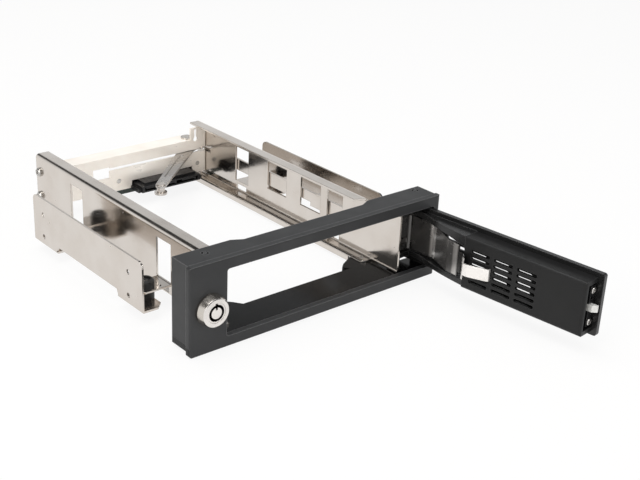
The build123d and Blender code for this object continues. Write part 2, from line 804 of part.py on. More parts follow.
def door_panel():
    size = (door_right - door_left, door_top - door_bottom)
    centre = ((door_right + door_left) / 2, (door_top + door_bottom) / 2)
    part = wall_xz(Pos(*centre) * RectangleRounded(*size, door_corner), (0, door_sheet))
    front_rim = part.edges().group_by(Axis.Y)[0]
    part = fillet(front_rim, 0.5)
    arch_left, arch_right = hinge_x - door_arch[1], hinge_x - door_arch[0]
    rise = ThreePointArc(
        (arch_left, door_bottom),
        ((arch_left + arch_right) / 2, door_bottom + door_arch_rise),
        (arch_right, door_bottom),
    )
    under = Polyline(
        (arch_right, door_bottom),
        (arch_right, door_bottom - 1),
        (arch_left, door_bottom - 1),
        (arch_left, door_bottom),
    )
    part -= wall_xz(make_face([*rise.edges(), *under.edges()]), (-1, door_sheet + 1))

    # Thinner behind the vents
    thin_x = (front_vent_first - 9.6, front_vent_first + (front_vents - 1) * vent_spacing + vent_width + 1.2)
    thin_z = (lower_arm_bottom + arm_thick, upper_arm_near_cover)
    part -= block(thin_x, (door_thin, door_sheet + 1), thin_z)

    # Upper and lower goosenecks, arched where they meet the cover
    plan = arm_outline()
    upper = slab(plan, (upper_arm_near_cover - 1, cover_top))
    arch_end = upper_arm_flat
    arch = Spline(
        (cover_right - 1, upper_arm_near_cover),
        (cover_right + 6, upper_arm_near_cover + 0.8),
        (arch_end, upper_arm_low),
        tangents=((1, 0), (1, 0)),
    )
    lowest = upper_arm_near_cover - 2
    below = make_face([
        *arch.edges(),
        *Polyline(
            (arch_end, upper_arm_low),
            (hinge_x + arm_eye_radius + 1, upper_arm_low),
            (hinge_x + arm_eye_radius + 1, lowest),
            (cover_right - 1, lowest),
            (cover_right - 1, upper_arm_near_cover),
        ).edges(),
    ])
    upper -= wall_xz(below, (-1, hinge_y + 10))
    lower = slab(plan, (lower_arm_bottom, lower_arm_bottom + arm_thick))
    gusset = block((cover_right, cover_right + 7.5), (door_sheet, 7.0), (cover_bottom, lower_arm_bottom))
    part += upper + lower + gusset
    lower_arm_z = (lower_arm_bottom - 1, lower_arm_bottom + arm_thick + 1)
    for z_span in ((upper_arm_low - 1, cover_top + 1), lower_arm_z):
        part -= rod_z(hinge_x, hinge_y, z_span, hinge_pin_radius + run_gap)

    # Rim inside the cover, vents, slider slot and the posts at the latch end
    rim_gap = cover_wall + seat_gap
    rim_x = (cover_left + rim_gap, cover_right - 0.5)
    rim_z = (cover_bottom + rim_gap, cover_top - rim_gap)
    rim = block(rim_x, (door_sheet, door_sheet + 2), rim_z)
    inset = 1.2
    inner_x = (rim_x[0] - 1, rim_x[1] + 1)
    rim -= block(inner_x, (door_sheet, door_sheet + 3), (rim_z[0] + inset, rim_z[1] - inset))
    part += rim
    for cut in vents(front_vent_first, front_vents, (-1, door_thin + 1)):
        part -= cut
    slot = slot_face((latch_slot_left, latch_z - slider_height / 2 - seat_gap),
                     (latch_slot_left + slider_length + latch_travel + 2 * move_gap, latch_z + slider_height / 2 + seat_gap))
    part -= wall_xz(slot, (-1, door_sheet + 1))
    grip = Pos(latch_slot_left + slider_length * 0.75, latch_z) * RectangleRounded(*grip_size, 3)
    part -= wall_xz(grip, (-1, grip_depth))
    post_x = (latch_plate_right + seat_gap, latch_plate_right + post_length)
    for z in latch_screw_z:
        part += block(post_x, (door_sheet, latch_front + latch_sheet), (z - post_half, z + post_half))
        part -= rod_x(latch_screw_y, z, (cover_left, post_x[1] + 1), 0.8)
    stop = (latch_z - latch_body_half, latch_z + latch_body_half)
    return part + block((spring_right, spring_right + 1.4), (door_thin, 7.2), stop)


def door_cover():
    """The moulded box clipped to the panel's back, open at its hinge end."""
    outer = block((cover_left, cover_right), (door_sheet, cover_back), (cover_bottom, cover_top))
    edges = outer.edges().filter_by(Axis.X).group_by(Axis.Y)[-1]
    edges += outer.edges().filter_by(Axis.Z).group_by(Axis.Y)[-1].sort_by(Axis.X)[:1]
    outer = fillet(edges, cover_edge)
    inner = block(
        (cover_left + cover_wall, cover_right + 1),
        (door_sheet - 1, cover_back - cover_wall),
        (cover_bottom + cover_wall, cover_top - cover_wall),
    )
    part = outer - inner
    end_z = (cover_bottom + cover_end_margin, cover_top - cover_end_margin)
    part -= block((cover_left - 1, cover_left + cover_wall + 1), (door_sheet - 1, cover_end_rear), end_z)
    for cut in vents(vent_first, cover_vents, (cover_back - cover_wall - 1, cover_back + 1)):
        part -= cut
    return part


def latch_screws():
    seat, head = latch_plate_left, 0.8
    screws = [screw_x(seat, latch_screw_y, z, 1, 6.0, 0.8, latch_screw_head, head) for z in latch_screw_z]
    return Compound(screws)


def latch_plate():
    """The small plate at the door's free end, which the latch's nose comes out of."""
    x_span = (latch_plate_left, latch_plate_right)
    rear = latch_front + latch_sheet
    part = block(x_span, (latch_plate_front, rear), latch_plate_span)
    window = (latch_z - latch_half - seat_gap, latch_z + latch_half + seat_gap)
    part -= block((x_span[0] - 1, x_span[1] + 1), (latch_front - seat_gap, rear + 1), window)
    part -= rod_x(*latch_hole, (x_span[0] - 1, x_span[1] + 1), latch_hole_radius)
    for z in latch_screw_z:
        part -= rod_x(latch_screw_y, z, (x_span[0] - 1, x_span[1] + 1), 0.9)
    return part


def latch_bolt():
    """The sliding bolt, sloped at the back of its nose so that the door shuts by itself."""
    shoulder = latch_plate_right + seat_gap
    rear = latch_front + latch_sheet
    body_z = (latch_z - latch_body_half, latch_z + latch_body_half)
    body = block((shoulder, latch_tail), (latch_front, rear), body_z)
    nose = Polyline(
        (shoulder + 1, latch_front),
        (latch_nose, latch_front),
        (latch_nose, latch_front + 0.8),
        (latch_nose + 1.9, rear),
        (shoulder + 1, rear),
        close=True,
    )
    return body + slab(make_face(nose), (latch_z - latch_half, latch_z + latch_half))


def latch_slider():
    left = latch_slot_left + move_gap
    pad = Pos(left + slider_length / 2, latch_z) * SlotOverall(slider_length, slider_height)
    part = wall_xz(pad, (-0.5, latch_front))
    for step in range(3):
        x = left + slider_length / 2 + (step - 1) * 1.3
        part -= block((x - 0.3, x + 0.3), (-1, -0.1), (latch_z - 1.5, latch_z + 1.5))
    return part


def latch_spring():
    """A folded leaf spring behind the bolt, drawn at its shortest length."""
    left = latch_tail + latch_travel + seat_gap
    right = spring_right - seat_gap
    mid = latch_front + latch_sheet / 2
    folds = 6
    step = (right - left - spring_sheet) / folds
    path = [(left + spring_sheet / 2, mid - 0.8)]
    for fold in range(folds + 1):
        x = left + spring_sheet / 2 + fold * step
        path.append((x, mid + (1.6 if fold % 2 == 0 else -1.0)))
    face = bent_strip(path, spring_sheet, 0.25)
    return slab(face, (latch_z - spring_height / 2, latch_z + spring_height / 2))


def door_strap():
    """A bent sheet from the hinge pin to the pressure tab on the cover."""
    x, y = hinge_x, hinge_y
    tangent = x - strap_knuckle
    path = [
        (x + strap_knuckle, y - 1.0),
        (x + strap_knuckle, y + strap_knuckle),
        (tangent, y + strap_knuckle),
        (tangent, strap_flat_y),
        (strap_bend_x, strap_flat_y),
        strap_slant_end,
        (cover_right + 1.0, cover_back - 0.2),
        (cover_right - 3.0, cover_back + 4.6),
        (cover_right - 5.9, cover_back + 4.8),
        (strap_tab_left, cover_back + 1.6),
        (strap_tab_left, cover_back + 0.4),
    ]
    bends = [strap_knuckle * 0.98, strap_knuckle * 0.98, 2.2, 1.5, 2.0, 1.2, 1.2, 1.6, 0.6]
    face = bent_strip(path, strap_sheet, bends)
    part = slab(face, (strap_bottom, strap_top))
    over = 30
    neck_x = (cover_right - over, cover_right + 3)
    part -= block(neck_x, (0, over), (strap_neck_top, strap_top + 1))
    part -= block(neck_x, (0, over), (strap_bottom - 1, strap_neck_bottom))
    tab_x = (cover_right - over, cover_right - 3.5)
    part -= block(tab_x, (cover_back, over), (strap_tab_top, strap_top))
    part -= block(tab_x, (cover_back, over), (strap_bottom, strap_tab_bottom))
    taper = Polyline(
        (cover_right + 2.5, strap_neck_top + 2.8),
        (upper_arm_flat, strap_top),
        (upper_arm_flat, strap_top + 2),
        (cover_right + 2.5, strap_top + 2),
        close=True,
    )
    part -= wall_xz(make_face(taper), (0, over))
    slit_x = (tangent - 1.4 - relief_slit, tangent - 1.4)
    slit_y = (strap_flat_y - 1, strap_flat_y + 1)
    part -= block(slit_x, slit_y, (relief_span[1], strap_top + 1))
    part -= block(slit_x, slit_y, (strap_bottom - 1, relief_span[0]))
    knuckle_gap = (bar_bottom - fork_gap, crank_bottom + crank_sheet + seat_gap)
    return part - rod_z(x, y, knuckle_gap, crank_radius)


def crank_plate():
    """The flat lever round the hinge pin that moves the push bar."""
    pin_x = hinge_x + crank_radius * cos(radians(half_door))
    pin_y = hinge_y - crank_radius * sin(radians(half_door))
    hub = Pos(hinge_x, hinge_y) * Circle(crank_hub_radius)
    end = Pos(pin_x, pin_y) * Circle(2.2)
    plan = make_hull([*hub.edges(), *end.edges()])
    part = slab(plan, (crank_bottom, crank_bottom + crank_sheet))
    through = (crank_bottom - 1, crank_bottom + crank_sheet + 1)
    part -= rod_z(hinge_x, hinge_y, through, hinge_pin_radius + run_gap)
    return part - rod_z(pin_x, pin_y, through, link_pin_radius)


def crank_pin():
    pin_x = hinge_x + crank_radius * cos(radians(half_door))
    pin_y = hinge_y - crank_radius * sin(radians(half_door))
    return headed_pin(pin_x, pin_y, crank_bottom, crank_bottom + crank_sheet)


def headed_pin(x, y, seat, top):
    """A rivet that hangs through the fork of the push bar."""
    pin = rod_z(x, y, (bar_bottom - 0.6, top), link_pin_radius)
    return pin + rod_z(x, y, (top, top + 0.8), link_pin_radius + 0.8)


def hinge_pin():
    low, high = bezel_body_bottom + 1, bezel_height - bezel_body_drop - bezel_wall / 2
    pin = rod_z(hinge_x, hinge_y, (low, high), hinge_pin_radius)
    return chamfer(pin.edges().filter_by(GeomType.CIRCLE), 0.3)


# Push bar and eject arm, in their places with the door open
def push_bar():
    web = block((bar_inner, bar_outer), (bar_web_front, bar_web_rear), (bar_bottom, bar_top))
    step_y = (rear_window[0] - 4, bar_web_rear + 1)
    step = block((bar_inner - 1, bar_outer + 1), step_y, (bar_rear_top, bar_top + 1))
    web -= step
    notch_y = (mid_windows[0][1] - 7.0, mid_windows[0][1] + 6.0)
    web -= block((bar_inner - 1, bar_outer + 1), notch_y, (bar_bottom - 1, bar_bottom + 2.2))

    fork_half = link_pin_radius + fork_gap + 1.6
    pin_x_open = hinge_x + crank_radius * cos(radians(half_door))
    fork_x = (pin_x_open - link_pin_radius - move_gap - 1.2, hinge_x + crank_radius + 1.1)
    front_y = crank_y_open
    front = Polyline(
        (fork_x[0], front_y - fork_half),
        (fork_x[1], front_y - fork_half),
        (fork_x[1], front_y + fork_half + 2),
        (bar_outer + 3, bar_web_front + 8),
        (bar_inner, bar_web_front + 8),
        (bar_inner, bar_web_front - 1),
        (fork_x[0], bar_web_front - 1),
        close=True,
    )
    plate_z = (bar_bottom, fork_top)
    part = web + slab(make_face(front), plate_z)
    slot_y = (front_y - link_pin_radius - fork_gap, front_y + link_pin_radius + fork_gap)
    part -= block((fork_x[0] + 1.2, fork_x[1] + 1), slot_y, (bar_bottom - 1, fork_top + 1))

    rear_x = (bar_inner, arm_pivot_x + arm_short + link_pin_radius + 2.4)
    part += block(rear_x, (bar_web_rear - 4, link_y_open + fork_half), plate_z)
    slot_y = (link_y_open - link_pin_radius - fork_gap, link_y_open + link_pin_radius + fork_gap)
    part -= block((bar_inner - 1, rear_x[1] - 1.3), slot_y, (bar_bottom - 1, fork_top + 1))
    return part


def arm_tip():
    angle = radians(180 + arm_swing)
    return arm_pivot_x + arm_long * cos(angle), arm_pivot_y + arm_long * sin(angle)


def arm_link():
    angle = radians(half_swing)
    return arm_pivot_x + arm_short * cos(angle), arm_pivot_y + arm_short * sin(angle)


def eject_arm():
    tip, link = arm_tip(), arm_link()
    root = Pos(arm_pivot_x, arm_pivot_y) * Circle(arm_root_width / 2)
    end = Pos(*tip) * Circle(arm_tip_width / 2)
    short = Pos(*link) * Circle(link_pin_radius + 1.6)
    long_plan = make_hull([*root.edges(), *end.edges()])
    short_plan = make_hull([*root.edges(), *short.edges()])
    part = slab(long_plan + short_plan, (arm_bottom, arm_bottom + arm_sheet))
    z_span = (arm_bottom - 1, arm_bottom + arm_sheet + 1)
    part -= rod_z(arm_pivot_x, arm_pivot_y, z_span, arm_pin_radius + run_gap)
    part -= rod_z(*link, z_span, link_pin_radius)
    part -= rod_z(*tip, z_span, stud_neck)
    # A shallow stiffening channel pressed along the long side
    length = arm_long * 0.62
    channel = Rot(0, 0, 180 + arm_swing) * Pos(arm_long * 0.5, 0) * SlotOverall(length, 2.2)
    channel_z = (arm_bottom + arm_sheet - 0.4, arm_bottom + arm_sheet + 1)
    return part - slab(Pos(arm_pivot_x, arm_pivot_y) * channel, channel_z)


def eject_stud():
    """The headed stud under the arm's tip that pushes the drive out."""
    x, y = arm_tip()
    part = rod_z(x, y, (arm_bottom - 2.7, arm_bottom), 2.15)
    part += rod_z(x, y, (arm_bottom - 3.9, arm_bottom - 2.7), 3.4)
    part += rod_z(x, y, (arm_bottom, arm_bottom + arm_sheet), stud_neck)
    return part + rod_z(x, y, (arm_bottom + arm_sheet, arm_bottom + arm_sheet + 0.7), 2.3)


def arm_link_pin():
    x, y = arm_link()
    return headed_pin(x, y, arm_bottom, arm_bottom + arm_sheet)


def arm_pivot_pin():
    low = arm_bottom - 0.1
    part = rod_z(arm_pivot_x, arm_pivot_y, (low - 0.9, low), 3.5)
    part += rod_z(arm_pivot_x, arm_pivot_y, (low, plate_band_top), arm_pin_radius)
    return part + rod_z(arm_pivot_x, arm_pivot_y, (plate_band_top, plate_band_top + 0.9), 3.5)


def arm_spacer():
    span = (arm_bottom + arm_sheet + 0.05, plate_band_top - plate_sheet)
    tube = rod_z(arm_pivot_x, arm_pivot_y, span, 3.4)
    return tube - rod_z(arm_pivot_x, arm_pivot_y, (span[0] - 1, span[1] + 1), arm_pin_radius + run_gap)


# Key lock
def lock_housing():
    profile = [
        (lock_plug_radius + run_gap, -lock_reach),
        (lock_face_radius, -lock_reach),
        (lock_face_radius + 0.35, -lock_reach + 0.3),
        (lock_collar_radius, -1.2),
        (lock_collar_radius, 0),
        (lock_barrel_radius, 0),
        (lock_barrel_radius, lock_barrel_depth),
        (lock_plug_radius + run_gap, lock_barrel_depth),
    ]
    face = make_face(Polyline(*profile, close=True))
    return Pos(lock_x, 0, lock_z) * revolve(face, Axis.Y)


def lock_plug():
    """The turning part of the lock, with its ring-shaped keyway."""
    front = -lock_reach + 0.15
    back = lock_barrel_depth + seat_gap
    part = rod_y(0, 0, (front, back), lock_plug_radius)
    ring = Circle(keyway_outer) - Circle(keyway_inner)
    part -= wall_xz(ring, (front - 1, front + keyway_depth))
    key_slot_z = (keyway_outer - 0.2, lock_plug_radius - 0.1)
    part -= block((-0.6, 0.6), (front - 1, front + keyway_depth), key_slot_z)
    part -= block((-0.5, 0.5), (front - 1, front + 1.2), (keyway_inner - 0.7, keyway_inner + 0.1))
    tail = block((-2, 2), (back, back + cam_sheet), (-2, 2))
    part += tail
    part -= rod_y(0, 0, (back, back + cam_sheet + 1), 1.0)
    return Pos(lock_x, 0, lock_z) * part


def lock_cam():
    """The blade that turns into the end of the shut door; at rest it points up."""
    back = lock_barrel_depth + seat_gap
    hub = Circle(5.2)
    blade = Pos(0, cam_length - cam_width / 2) * Circle(cam_width / 2)
    plan = make_hull([*hub.edges(), *blade.edges()]) - Rectangle(4 + seat_gap / 2, 4 + seat_gap / 2)
    return Pos(lock_x, 0, lock_z) * wall_xz(plan, (back, back + cam_sheet))


def lock_nut():
    span = (lip_depth, lip_depth + 2.4)
    plan = Rot(0, 0, 30) * RegularPolygon(7.2, 6) - Circle(lock_barrel_radius)
    return Pos(lock_x, 0, lock_z) * wall_xz(plan, span)


def lock_cam_screw():
    seat = lock_barrel_depth + seat_gap + cam_sheet
    return screw_y(lock_x, seat, lock_z, -1, cam_sheet, 1.0, 2.6, 1.3)


def fixed_pieces():
    pieces = {
        "bezel": bezel(),
        "bezel_screws": bezel_screws(),
        "left_rail": left_rail(),
        "right_rail": right_rail(),
        "left_bracket": mirrored(bracket()),
        "right_bracket": bracket(),
        "damper_screws": damper_screws(),
        "rear_plate": rear_plate(),
        "rear_plate_screws": rear_plate_screws(),
        "backplane_board": backplane_board(),
        "board_spacers": board_spacers(),
        "board_screws": board_screws(),
        "drive_connector": drive_connector(),
        "data_socket": socket(data_socket_left, data_socket_width),
        "power_socket": socket(power_socket_left, power_socket_width),
        "hinge_pin": hinge_pin(),
        "arm_pivot_pin": arm_pivot_pin(),
        "arm_spacer": arm_spacer(),
        "lock_housing": lock_housing(),
        "lock_nut": lock_nut(),
    }
    for side, x in (("left", -damper_x), ("right", damper_x)):
        for end, y in (("front", side_hole_front), ("rear", side_hole_front + side_hole_pitch)):
            pieces[f"{end}_{side}_damper"] = damper(x, y)
    return pieces


def door_pieces():
    shut = {
        "door_panel": door_panel(),
        "door_cover": door_cover(),
        "latch_plate": latch_plate(),
        "latch_screws": latch_screws(),
        "latch_bolt": latch_bolt(),
        "latch_slider": latch_slider(),
        "latch_spring": latch_spring(),
        "door_strap": door_strap(),
        "crank_plate": crank_plate(),
        "crank_pin": crank_pin(),
    }
    return {name: turned(piece, door_angle, hinge_x, hinge_y) for name, piece in shut.items()}


def moving_pieces():
    return {
        "push_bar": push_bar(),
        "eject_arm": eject_arm(),
        "eject_stud": eject_stud(),
        "arm_link_pin": arm_link_pin(),
        "lock_plug": lock_plug(),
        "lock_cam": lock_cam(),
        "lock_cam_screw": lock_cam_screw(),
    }


def main():
    os.makedirs("parts", exist_ok=True)
    place = Pos(0, -lip_depth / 2, 0)
    pieces = {**fixed_pieces(), **door_pieces(), **moving_pieces()}
    for name, piece in pieces.items():
        export_step(place * piece, f"parts/{name}.step")


main()
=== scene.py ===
import math

import bpy
from mathutils import Matrix, Vector


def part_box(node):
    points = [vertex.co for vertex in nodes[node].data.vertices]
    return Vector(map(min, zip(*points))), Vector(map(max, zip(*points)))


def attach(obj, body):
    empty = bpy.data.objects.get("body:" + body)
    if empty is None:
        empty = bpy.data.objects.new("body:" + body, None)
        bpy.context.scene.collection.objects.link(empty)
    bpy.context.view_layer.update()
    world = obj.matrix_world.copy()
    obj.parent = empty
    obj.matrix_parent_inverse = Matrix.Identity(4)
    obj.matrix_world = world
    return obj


# The looks of a trayless mobile rack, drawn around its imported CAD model. Lengths are in metres.

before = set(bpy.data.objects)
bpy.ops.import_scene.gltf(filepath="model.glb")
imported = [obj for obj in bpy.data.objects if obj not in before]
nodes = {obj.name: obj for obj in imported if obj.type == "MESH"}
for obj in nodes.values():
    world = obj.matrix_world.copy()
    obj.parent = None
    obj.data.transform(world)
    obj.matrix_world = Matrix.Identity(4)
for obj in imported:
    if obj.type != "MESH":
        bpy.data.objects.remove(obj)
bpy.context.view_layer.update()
MM = 0.001

# The photograph's camera
CAMERA_PLACE = Vector((-0.316766, -0.356111, 0.248611))
CAMERA_HEADING = math.radians(41.449)
CAMERA_DIP = math.radians(24.018)
CAMERA_ROLL = math.radians(-2.8405)
LENS = 64.74
SENSOR = 36.0

# Colours
BLACK = (0.032, 0.0325, 0.0335)
BLACK_DOOR = (0.0105, 0.0105, 0.0105)
BLACK_COVER = (0.0098, 0.0098, 0.0098)
BLACK_SMOOTH = (0.008, 0.008, 0.0085)
RUBBER = (0.010, 0.010, 0.010)
NYLON = (0.70, 0.70, 0.67)
NICKEL = (0.665, 0.620, 0.575)
NICKEL_PALE = (1.0, 0.945, 0.87)
# Painted shade: a darker copy of NICKEL that makes the right bracket look shaded
NICKEL_PAINTED_SHADE = (0.53, 0.485, 0.44)
NICKEL_DULL = (0.52, 0.50, 0.48)
STRAP = (0.94, 0.905, 0.87)
ZINC = (0.60, 0.58, 0.55)
CHROME = (0.80, 0.765, 0.73)
GOLD = (0.83, 0.60, 0.25)
BOARD = (0.005, 0.014, 0.010)
FLOOR = (0.84, 0.82, 0.80)
# Painted shade: the inside of the keyway and the side of the lock's collar
KEYWAY_PAINTED_SHADE = (0.012, 0.011, 0.010)
COLLAR_PAINTED_SHADE = (0.60, 0.56, 0.51)

# Painted reflection on the strap: bands where its colour is darkened, most where it mirrors the dark door,
# less for its brighter streaks: two places along Y and the share of the colour that is left
STRAP_PAINTED_REFLECTION = (
    (-34 * MM, -27 * MM, 0.06),
    (-27 * MM, -25 * MM, 0.5),
    (-25 * MM, -8.5 * MM, 0.15),
    (-8.5 * MM, -5 * MM, 0.65),
    (-5 * MM, 30 * MM, 0.12),
)

# Places on the bezel: the step from its lip to its body's top, the skin of that top which is darkened as
# painted shade, and its smooth floor and two mould marks, darkened as painted shade too
BODY_DROP = 0.4 * MM
TOP_SKIN = 0.3 * MM
FLOOR_HEIGHTS = (0.5 * MM, 4.2 * MM)
FLOOR_LENGTH = (-0.9 * MM, 60 * MM)
MARKS = ((-59.3 * MM, 8.9 * MM), (67.8 * MM, 10.5 * MM))
MARK_REACH = 2 * MM
MARK_DEPTHS = (0.8 * MM, 0.25 * MM)

# The lock: how far behind its face the collar's side starts and ends, which is darkened as painted shade,
# how deep the keyway's dark part, painted shade, starts, and the pitch of the turning marks
COLLAR_RIM = 0.5 * MM
COLLAR_LENGTH = 30 * MM
KEYWAY_RIM = 0.9 * MM
RING_PITCH = 0.35 * MM


# Node helpers
class Shader:
    """One material's node tree, with short names for the nodes it is made of."""

    def __init__(self, name):
        self.material = bpy.data.materials.new(name)
        self.material.use_nodes = True
        self.tree = self.material.node_tree
        self.bsdf = self.tree.nodes["Principled BSDF"]
        self.where = self.add("ShaderNodeTexCoord").outputs["Object"]

    def add(self, kind, **settings):
        node = self.tree.nodes.new(kind)
        for key, value in settings.items():
            setattr(node, key, value)
        return node

    def link(self, source, target):
        self.tree.links.new(source, target)

    def scaled(self, scale):
        mapping = self.add("ShaderNodeMapping")
        mapping.inputs["Scale"].default_value = scale
        self.link(self.where, mapping.inputs["Vector"])
        return mapping.outputs["Vector"]

    def noise(self, scale, detail, stretch=(1, 1, 1), roughness=0.5):
        node = self.add("ShaderNodeTexNoise")
        node.inputs["Scale"].default_value = scale
        node.inputs["Detail"].default_value = detail
        node.inputs["Roughness"].default_value = roughness
        self.link(self.scaled(stretch), node.inputs["Vector"])
        return node.outputs["Fac"]

    def ramp(self, source, low, high, start=0.0, end=1.0):
        node = self.add("ShaderNodeMapRange")
        node.inputs["From Min"].default_value = start
        node.inputs["From Max"].default_value = end
        node.inputs["To Min"].default_value = low
        node.inputs["To Max"].default_value = high
        self.link(source, node.inputs["Value"])
        return node.outputs["Result"]

    def mix(self, factor, first, second):
        """A colour, or one that an earlier node gives, mixed by factor with a second colour."""
        node = self.add("ShaderNodeMix", data_type="RGBA")
        if isinstance(first, tuple):
            node.inputs["A"].default_value = (*first, 1)
        else:
            self.link(first, node.inputs["A"])
        node.inputs["B"].default_value = (*second, 1)
        self.link(factor, node.inputs["Factor"])
        return node.outputs["Result"]

    def along(self, axis):
        parts = self.add("ShaderNodeSeparateXYZ")
        self.link(self.where, parts.inputs["Vector"])
        return parts.outputs[axis]

    def within(self, axis, start, end, soft=0.2 * MM):
        """1 where the part's own coordinate on axis lies between start and end."""
        place = self.along(axis)
        rise = self.ramp(place, 0.0, 1.0, start - soft, start + soft)
        fall = self.ramp(place, 1.0, 0.0, end - soft, end + soft)
        return self.add_up(rise, fall, "MULTIPLY")

    def add_up(self, first, second, operation="ADD"):
        node = self.add("ShaderNodeMath", operation=operation)
        for value, socket in ((first, node.inputs[0]), (second, node.inputs[1])):
            if isinstance(value, (int, float)):
                socket.default_value = value
            else:
                self.link(value, socket)
        return node.outputs["Value"]

    def relief(self, height, distance, edge):
        """A bump over softly rounded edges."""
        bevel = self.add("ShaderNodeBevel", samples=4)
        bevel.inputs["Radius"].default_value = edge
        bump = self.add("ShaderNodeBump")
        bump.inputs["Strength"].default_value = 1.0
        bump.inputs["Distance"].default_value = distance
        self.link(height, bump.inputs["Height"])
        self.link(bevel.outputs["Normal"], bump.inputs["Normal"])
        self.link(bump.outputs["Normal"], self.bsdf.inputs["Normal"])

    def edges(self, radius):
        """How much a point lies on a sharp edge, from 0 to about 1."""
        bevel = self.add("ShaderNodeBevel", samples=4)
        bevel.inputs["Radius"].default_value = radius
        flat = self.add("ShaderNodeNewGeometry").outputs["Normal"]
        dot = self.add("ShaderNodeVectorMath", operation="DOT_PRODUCT")
        self.link(bevel.outputs["Normal"], dot.inputs[0])
        self.link(flat, dot.inputs[1])
        return self.ramp(dot.outputs["Value"], 1.0, 0.0, 0.75, 0.995)


def moulded(name, colour, rough, grain=2600, depth=0.02 * MM, edge=0.35 * MM, lift=1.6, shine=0.5,
            gloss_with_painted_shade=(), rim=0.06, rim_share=0.6, rim_width=0.5 * MM, painted_shade_window=None):
    """Moulded plastic: a fine spark-eroded grain, handling marks and edges lightened as painted highlight.

    Each region in gloss_with_painted_shade is a group of windows, each an axis and two places on it. Inside
    all the windows of a region the plastic turns smooth and its colour is darkened, as painted shade. In the
    window painted_shade_window the colour is only darkened, by its last value, as painted shade.
    """
    shader = Shader(name)
    fine = shader.noise(grain, 2.0, roughness=0.6)
    cloud = shader.noise(38, 4.0)
    edge_highlight = shader.edges(rim_width)
    shade = shader.ramp(cloud, 0.0, 0.55, 0.35, 0.75)
    lighter = tuple(min(1.0, c * lift) for c in colour)
    base = shader.mix(shade, colour, lighter)
    # Painted shade: inside painted_shade_window the colour is darkened by its last value
    if painted_shade_window:
        base = shader.mix(shader.within(*painted_shade_window[:3]), base, tuple(c * painted_shade_window[3] for c in lighter))
    # Painted highlight: sharp edges are lightened towards the rim colour
    toned = shader.mix(shader.ramp(edge_highlight, 0.0, rim_share), base, (rim, rim, rim))
    smear = shader.ramp(shader.noise(95, 5.0), -0.05, 0.06, 0.3, 0.7)
    speckle = shader.ramp(fine, -0.05, 0.05)
    spread = shader.add_up(rough, shader.add_up(smear, speckle))
    for region in gloss_with_painted_shade:
        inside = shader.within(*region[0])
        for window in region[1:]:
            inside = shader.add_up(inside, shader.within(*window), "MULTIPLY")
        # Painted shade: inside each region the colour is darkened to 0.15 of its own
        toned = shader.mix(inside, toned, tuple(c * 0.15 for c in colour))
        spread = shader.add_up(spread, shader.ramp(inside, 0.0, -0.24))
    shader.link(toned, shader.bsdf.inputs["Base Color"])
    shader.link(spread, shader.bsdf.inputs["Roughness"])
    shader.bsdf.inputs["Specular IOR Level"].default_value = shine
    shader.relief(fine, depth, edge)
    return shader.material


def sheet_steel(name, colour, rough, along="Y", depth=0.006 * MM, edge=0.2 * MM, metal=1.0, stops=()):
    """Plated sheet: near mirror, with faint rolling lines, haze and a few hairline scratches.

    Where stops gives places along Y and shares of the colour, the colour is darkened between them, as
    painted reflection.
    """
    shader = Shader(name)
    stretch = {"X": (0.02, 1, 1), "Y": (1, 0.02, 1), "Z": (1, 1, 0.02)}[along]
    lines = shader.noise(900, 3.0, stretch, 0.65)
    ripple = shader.noise(16, 2.0)
    haze = shader.noise(60, 5.0)
    scratch = shader.ramp(shader.noise(420, 2.0, (0.05, 0.6, 1.0)), 0.0, 1.0, 0.66, 0.72)
    stain = shader.ramp(haze, 0.0, 0.5, 0.4, 0.75)
    tarnish = tuple(c * f for c, f in zip(colour, (0.86, 0.82, 0.78)))
    base = shader.mix(stain, colour, tarnish)
    # Painted reflection: between the stops the colour is darkened to its share
    for start, end, share in stops:
        inside = shader.within("Y", start, end, 0.9 * MM)
        base = shader.mix(inside, base, tuple(c * share for c in colour))
    shader.link(base, shader.bsdf.inputs["Base Color"])
    spread = shader.add_up(shader.ramp(lines, -0.04, 0.05), shader.ramp(haze, -0.03, 0.06, 0.35, 0.7))
    spread = shader.add_up(spread, shader.ramp(scratch, 0.0, 0.12))
    shader.link(shader.add_up(rough, spread), shader.bsdf.inputs["Roughness"])
    shader.bsdf.inputs["Metallic"].default_value = metal
    height = shader.add_up(lines, shader.add_up(ripple, 6.0, "MULTIPLY"))
    shader.relief(height, depth, edge)
    return shader.material


